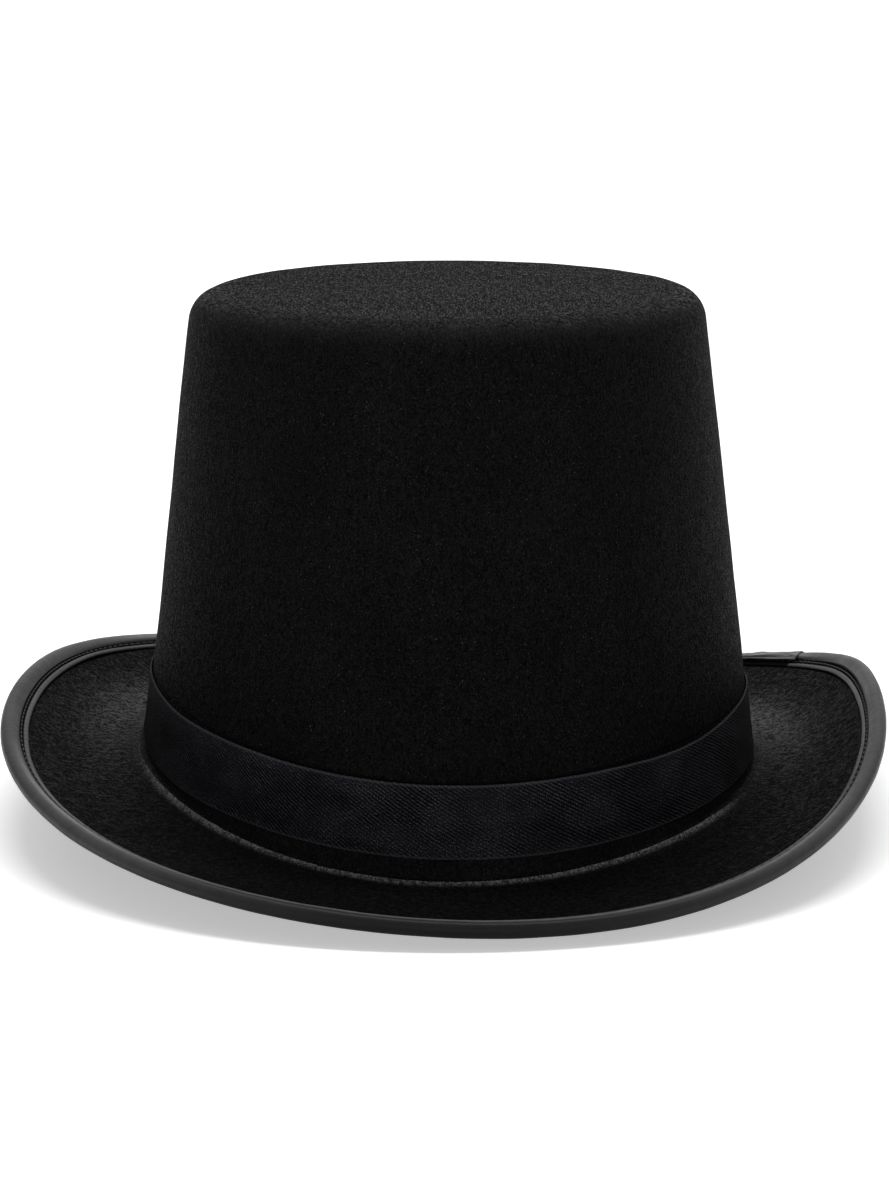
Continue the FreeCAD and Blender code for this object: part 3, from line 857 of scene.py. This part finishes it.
def make_sweatband(material):
    phi, along, raised = lap_stations(SWEATBAND_JOIN, SWEATBAND_OVERLAP, 0.9)
    across, outer, inner, _ = band_section(SWEATBAND_WIDTH, SWEATBAND_THICKNESS)
    flare = (0.35 + 0.35 * round_waves(phi, 30.0, 11)) * smooth_step(14.0, SWEATBAND_WIDTH, across)
    roll = 0.25 * np.exp(-across / 1.2)
    face = SWEATBAND_OFFSET - flare - (SWEATBAND_THICKNESS + 0.06) * raised
    z = crease_z(phi) + SWEATBAND_BOTTOM + across * math.cos(TAPER)
    points = both_faces(*on_wall(phi, z, face - outer - roll, face - inner - roll))
    cloth = cloth_coordinates(along, across)
    return strip_piece("sweatband_ribbon_ring", points, material, "sweatband",
                       {"cloth": cloth}, 80.0)


def make_sweatband_stitches(material):
    offset = SWEATBAND_OFFSET - SWEATBAND_THICKNESS - 0.25

    def point_at(phi, above):
        return wall_point(crease_z(phi) + SWEATBAND_STITCH_HEIGHT, offset - above)

    starts, ends, ups = stitch_row(SWEATBAND_STITCHES, point_at)
    return thread_piece("sweatband_stitches", starts, ends, ups, material, "sweatband_stitching")


# ---- satin binding of the brim's edge ----

def edge_stitch_count():
    phi = TURN * np.arange(721) / 720
    path = place(phi, *edge_point(phi, GROOVE, 2.1))
    return int(round(np.linalg.norm(np.diff(path, axis=0), axis=1).sum() / EDGE_STITCH_PITCH))


def binding_section():
    """Half sections of the folded tape, inner edge of the lip to the outside of the bead.

    Each row is outward and up, in mm from the wire's centre: lying flat, and where the
    lapped end lies over the start of the tape.
    """
    flat = [(-5.55, 1.32), (-5.70, 1.54), (-5.52, 1.82), (-5.05, 1.96), (-4.50, 1.96),
            (-4.08, 1.82), (-4.00, 1.60), (-4.25, 1.32), (-3.80, 1.29), (-3.30, 1.28),
            (-2.45, 1.32), (-2.70, 1.64), (-2.42, 1.93), (-1.60, 2.18), (-0.80, 2.26),
            (0.0, 2.24), (0.86, 2.04), (1.56, 1.56), (2.03, 0.84), (2.2, 0.0)]
    lapped = [(-3.60, 2.36), (-3.74, 2.50), (-3.66, 2.68), (-3.46, 2.76), (-3.30, 2.78),
              (-3.14, 2.78), (-2.98, 2.76), (-2.88, 2.75), (-2.78, 2.74), (-2.66, 2.73),
              (-2.54, 2.72), (-2.36, 2.72), (-2.08, 2.76), (-1.50, 2.82), (-0.80, 2.80),
              (0.0, 2.70), (1.02, 2.46), (1.88, 1.88), (2.46, 1.02), (2.66, 0.0)]
    return np.array(flat), np.array(lapped)


def binding_lines():
    """The tape's outer and inner line round the edge, each lying flat and lapped."""
    flat, lapped = binding_section()
    under = lapped.copy()
    under[:13] = flat[:13] + np.array([0.0, 0.42])
    mirror = np.array([1.0, -1.0])
    flat = np.concatenate([flat, flat[-2::-1] * mirror])
    lapped = np.concatenate([lapped, under[-2::-1] * mirror])
    middle = len(flat) // 2

    def inner_line(line, felt_face, bore, skip):
        """The tape's other face: on the felt, round the wire, and just under the first
        points of a lap."""
        apart = 0.01 * np.arange(middle + 1)
        half = np.maximum.accumulate(line[:middle + 1, 0]) + apart
        other = np.maximum.accumulate(line[:middle - 1:-1, 0]) + apart
        out = np.concatenate([half, other[-2::-1]])
        radius = np.hypot(line[:, 0], line[:, 1])[:, None]
        inside = np.where(line[:, :1] > BORE_START, line / radius * bore,
                          np.stack([out + 0.05, np.sign(line[:, 1]) * felt_face], -1))
        inside[:skip] = line[:skip] - np.array([-0.05, 0.36])
        return inside

    return ((flat, lapped),
            (inner_line(flat, 1.24, 1.68, 0), inner_line(lapped, 1.80, 2.30, 12)))


def binding_paint(x, y, phi, turn, raised, front):
    """Painted shade in the groove, under the lap, beneath the bead at the front and back, and in
    the lap's creases;
    painted highlights on the lip, along the top of the bead and on its quarters."""
    heading = folded(phi)
    # Painted shade in the groove, under the lap, beneath the bead and in the lap's creases.
    groove = smooth_step(1.80, 1.62, abs(y)) * (x > -4.4) * (x < -2.2)
    groove = groove * (1.0 - raised) * (1.0 - front)
    under = (turn < TAPE_OVERLAP / EDGE_RADIUS) * smooth_step(-1.6, -2.3, x)
    beneath = 0.58 * smooth_step(1.1, -0.6, y) * near(heading, 270.0, 0.6)
    creases = smooth_step(0.1, 0.7, round_waves(phi, 5.0, 27, x * 1.6))
    creases = 0.75 * raised * creases * (y > 0.0)
    painted_shade = np.maximum.reduce([groove, under, beneath, creases])
    # Painted highlights: on the bead's quarters, along its top at the front and back, and along the
    # lip; only on the upper side.
    body = 0.24 * near(heading, 231.0, 0.36) + 0.21 * near(heading, 320.0, 0.38)
    top_line = hump(x, -0.5, 0.75) + 0.5 * hump(x, -4.2, 0.8)
    rubbed = (0.11 * hump(x, -4.5, 0.9) + 0.90 * front * top_line
              + body * off_side(phi) * smooth_step(-2.2, -1.5, x))
    return {"painted_shade": both_faces(painted_shade), "rubbed": both_faces(rubbed * (y > -1.0))}


def make_binding(material, count):
    whole = TURN + TAPE_OVERLAP / EDGE_RADIUS
    close = whole - (TAPE_OVERLAP + LAP_RISE) / EDGE_RADIUS
    step = TURN / (4 * count)
    turn = np.concatenate([np.arange(0.0, close, step), np.arange(close, whole, step / 2), [whole]])
    turn = turn[:, None]
    raised = smooth_step(TURN - LAP_RISE / EDGE_RADIUS, TURN, turn)
    close_to_end = smooth_step(whole - LAP_SLANT / EDGE_RADIUS, whole, turn)
    phi = TAPE_JOIN + TAPE_OVERLAP / EDGE_RADIUS - turn
    heading = folded(phi)
    ahead = between(heading, 198.0, 212.0, 322.0, 336.0)
    front = between(heading, 204.0, 224.0, 312.0, 332.0)

    # What moves the cloth: x is outward and y up, along the section that lies flat.
    outer_line, inner_line = binding_lines()
    x, y = outer_line[0].T
    sign = np.sign(y)
    is_lip = smooth_step(-3.4, -3.9, x)
    on_bead = x > BEAD_START
    loose = 0.5 * near(phi % TURN, 24.0, 0.28) * hump(x, -2.55, 0.3) * (1.0 - raised)
    lowered = 0.34 * ahead * is_lip * (1.0 - raised)
    hole = (0.5 + 0.5 * np.cos(count * phi)) ** 2
    pulled = 0.05 * hole * (is_lip + hump(x, GROOVE, 0.9) * (1.0 - raised))
    curled = 0.14 + 0.22 * round_waves(phi, 26.0, 21) + 0.08 * round_waves(phi, 6.0, 22)
    curled = np.clip(curled, 0.0, 0.6) * smooth_step(-4.0, -5.6, x) * (sign > 0) * (1.0 - ahead)
    slack = 0.09 * round_waves(phi, 17.0, 23) + 0.05 * round_waves(phi, 5.0, 24, 8.0 * sign)
    ragged = 0.10 * round_waves(phi, 11.0, 26) * is_lip

    faces = []
    for flat, lapped in (outer_line, inner_line):
        section = flat + (lapped - flat) * raised[:, :, None]
        outward = section[..., 0] + loose
        up = section[..., 1] + sign * (curled - lowered - pulled)
        crumple = raised * 0.40 * round_waves(phi + outward * 0.03, 5.5, 25, outward * 2.2)
        swell = (slack * (1.0 - is_lip) + crumple * (1.0 - 0.4 * is_lip)) / BEAD_RADIUS
        outward = outward * (1.0 + np.where(on_bead, swell, 0.0)) + ragged
        up = up * (1.0 + swell * np.where(on_bead, 1.0, 0.7))
        slant = close_to_end * (BEAD_RADIUS - outward) / 5.8 * 3.4 / EDGE_RADIUS * (sign >= 0)
        faces.append(place(phi - slant, *edge_point(phi - slant, outward, up)))
    points = both_faces(*faces)

    steps = np.linalg.norm(np.diff(outer_line[0], axis=0), axis=1)
    across = np.concatenate([[0.0], np.cumsum(steps)])
    attributes = binding_paint(x, y, phi, turn, raised, front)
    attributes["cloth"] = cloth_coordinates(turn * EDGE_RADIUS, across)
    return strip_piece("brim_edge_binding", points, material, "brim_binding",
                       attributes, 75.0)


def make_edge_stitches(material, count):
    rows = [stitch_row(count, lambda phi, above, side=side:
                       edge_point(phi, GROOVE, side * (STITCH_LEVEL + above)))
            for side in (1.0, -1.0)]
    starts, ends, ups = (np.concatenate(parts) for parts in zip(*rows))
    return thread_piece("edge_stitches", starts, ends, ups, material, "binding_stitching")


# ---- lining and label ----

def make_lining_side(material):
    columns = 560
    phi = TURN * np.arange(columns) / columns
    foot = crease_z(phi) + LINING_BOTTOM
    rows = np.linspace(0.0, 1.0, 40)[:, None]
    z = foot + (LINING_TOP - foot) * rows
    gather = 0.5 + 0.5 * round_waves(phi, 9.0, 31)
    deep = 0.12 + 0.36 * smooth_step(0.0, 0.25, rows) * smooth_step(1.02, 0.7, rows)
    pucker = deep * gather ** 1.5 + 0.08 * (1.0 + round_waves(phi, 14.0, 32, z * 0.4))
    face = LINING_OFFSET - pucker
    outer, inner = on_wall(phi, z, face, face - LINING_THICKNESS * 0.5)
    points = np.concatenate([outer, inner[::-1]])
    faces = grid_faces(len(points), columns, close_rows=True, close_columns=True)
    round_hat = [MEAN_RADIUS * np.cos(phi), MEAN_RADIUS * np.sin(phi), z]
    cloth = np.stack(np.broadcast_arrays(*round_hat), -1)
    cloth = np.concatenate([cloth, cloth[::-1]]).reshape(-1, 3)
    return make_piece("lining_wall", points.reshape(-1, 3), faces, material, "lining_side",
                      {"cloth": cloth}, 80.0)


def make_lining_tip(material):
    side = 70
    columns = 4 * side
    phi = TURN * np.arange(columns) / columns
    level = LINING_TOP + 0.1
    reach = wall_point(level, LINING_OFFSET - 0.1)[0]
    lower = place(phi, reach, level)
    upper = place(phi, reach, level + LINING_THICKNESS * 0.6)
    points, faces = [lower, upper], []
    count = 2 * columns
    for ring, first, flip in ((lower, 0, False), (upper, columns, True)):
        new, radius, disc = disc_on_ring(side, ring, count, first)
        fold = 0.45 * waves(new * np.array([1.0, 1.0, 0.0]), 22.0, 33)
        sag = (0.25 - 0.9 * (1.0 - radius ** 2)) + fold
        new[:, 2] += np.minimum(sag * smooth_step(1.0, 0.85, radius), 0.3)
        points.append(new)
        faces.append(disc[:, ::-1] if flip else disc)
        count += len(new)
    j = np.arange(columns)
    right = (j + 1) % columns
    faces.append(np.stack([j, right, right + columns, j + columns], -1))
    points = np.concatenate(points)
    return make_piece("lining_crown_tip", points, np.concatenate(faces), material, "lining_tip",
                      {"cloth": points}, 80.0)


def make_label(material):
    stations = np.linspace(-LABEL_WIDTH / 2, LABEL_WIDTH / 2, 34)[:, None]
    rise = np.linspace(0.0, LABEL_HEIGHT, 60)
    phi = math.pi / 2 - stations / CROWN_HALF_WIDTH
    corner = (abs(stations) / (LABEL_WIDTH / 2)) ** 4 * (rise / LABEL_HEIGHT) ** 6
    flat = np.stack(np.broadcast_arrays(stations, rise, 0.0), -1)
    lift = 0.9 * corner + 0.10 * waves(flat, 9.0, 41)
    z = crease_z(phi) + LABEL_BOTTOM + rise
    face = LABEL_OFFSET - 0.12 - lift
    points = both_faces(*on_wall(phi, z, face, face - LABEL_THICKNESS))
    cloth = cloth_coordinates(stations, rise)
    return strip_piece("blank_label", points, material, "care_label",
                       {"cloth": cloth}, 80.0)


# ---- floor, light and camera ----

def make_floor():
    """A wide pale disc, so that the view meets nothing else."""
    radii = np.array([0.0, 0.2, 0.4, 0.8, 1.6, 3.2, 6.4, 12.8, 25.0, 45.0])
    columns = 96
    phi = TURN * np.arange(columns) / columns
    rings = [np.stack([r * np.cos(phi), r * np.sin(phi), 0.0 * phi], -1) for r in radii[1:]]
    points = np.concatenate([[[0.0, 0.0, 0.0]]] + rings)
    faces = grid_faces(len(rings), columns, close_columns=True, first=1).tolist()
    faces += [(0, 1 + j, 1 + (j + 1) % columns) for j in range(columns)]
    mesh = bpy.data.meshes.new("floor")
    mesh.from_pydata(points, [], faces)
    r = Recipe("pale_floor")
    spot = r.add("TexCoord", {}, "Object")
    grain = r.noise(spot, (300.0, 300.0, 300.0))
    away = r.add("VectorMath", {0: spot}, 1, operation="LENGTH")
    mesh.materials.append(r.surface({
        "Base Color": grey(0.93), "Roughness": r.ranged(grain, 0.3, 0.7, 0.85, 0.95),
        "Emission Color": grey(1.0), "Emission Strength": r.ranged(away, 0.6, 1.8, 0.42, 0.70),
        "Specular IOR Level": 0.1}))
    floor = bpy.data.objects.new("floor", mesh)
    bpy.context.scene.collection.objects.link(floor)


def make_world():
    """A white studio: bright overhead, behind and at the sides, dim behind the camera."""
    world = bpy.data.worlds.new("studio")
    bpy.context.scene.world = world
    world.use_nodes = True
    tree = world.node_tree
    tree.nodes.clear()

    def node(kind, **settings):
        made = tree.nodes.new("ShaderNode" + kind)
        for key, value in settings.items():
            setattr(made, key, value)
        return made

    def math_node(operation, a, b):
        made = node("Math", operation=operation)
        for socket, value in zip(made.inputs, (a, b)):
            if isinstance(value, bpy.types.NodeSocket):
                tree.links.new(value, socket)
            else:
                socket.default_value = value
        return made.outputs[0]

    direction = node("SeparateXYZ")
    tree.links.new(node("TexCoord").outputs["Generated"], direction.inputs[0])
    x, y, z = direction.outputs
    lean = math.radians(40.0)
    level = math_node("MULTIPLY", y, math.cos(lean))
    back = math_node("ADD", level, math_node("MULTIPLY", z, math.sin(lean)))
    back = math_node("POWER", math_node("MAXIMUM", back, 0.0), 4.0)
    sides = math_node("MULTIPLY", math_node("MULTIPLY", x, x), 0.05)
    back = math_node("MULTIPLY", back, 1.95)
    strength = math_node("ADD", back, math_node("ADD", sides, 0.15))
    background = node("Background")
    tree.links.new(strength, background.inputs["Strength"])
    output = node("OutputWorld")
    tree.links.new(background.outputs[0], output.inputs["Surface"])


def make_softbox(name, location, target, size, power):
    light = bpy.data.lights.new(name, "AREA")
    light.shape = "RECTANGLE"
    light.size, light.size_y = size
    light.energy = power
    lamp = bpy.data.objects.new(name, light)
    lamp.location = location
    aim = Vector(target) - Vector(location)
    lamp.rotation_mode = "QUATERNION"
    lamp.rotation_quaternion = aim.to_track_quat("-Z", "Y")
    bpy.context.scene.collection.objects.link(lamp)


def make_camera():
    """The photo's view: 0.85 m away, its shift and height fitted to the hat's outline."""
    data = bpy.data.cameras.new("camera")
    data.lens = 86.82
    data.sensor_width = 36.0
    data.shift_x = -0.00334
    data.shift_y = -0.0440
    data.clip_end = 200.0
    camera = bpy.data.objects.new("camera", data)
    camera.location = (0.048571, -0.8325, 0.2359)
    aim = Vector((0.000571, 0.0, 0.071458)) - camera.location
    camera.rotation_mode = "QUATERNION"
    camera.rotation_quaternion = aim.to_track_quat("-Z", "Y")
    bpy.context.scene.collection.objects.link(camera)
    bpy.context.scene.camera = camera


# ---- the scene ----

make_camera()
make_world()
make_softbox("softbox_over", (0.0, 0.25, 1.8), (0.0, 0.0, 0.05), (1.2, 0.15), 16.0)
make_softbox("softbox_front", (0.0, -1.7, 0.35), (0.0, 0.0, 0.08), (2.4, 0.5), 8.5)
bpy.context.scene.view_settings.view_transform = "Standard"
make_floor()

thread = thread_material()
steel = steel_material()
for name in ("brim_wire", "wire_ferrule"):
    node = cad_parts[name]
    node.data.materials.clear()
    node.data.materials.append(steel)

make_felt(felt_material())
ribbon = make_ribbon(ribbon_material())
make_ribbon_tacks(thread)
stitch_count = edge_stitch_count()
binding = make_binding(binding_material(), stitch_count)
make_edge_stitches(thread, stitch_count)
sweatband = make_sweatband(grosgrain_material())
make_sweatband_stitches(thread)
lining = lining_material()
lining_side = make_lining_side(lining)
lining_tip = make_lining_tip(lining)
label = make_label(label_material())
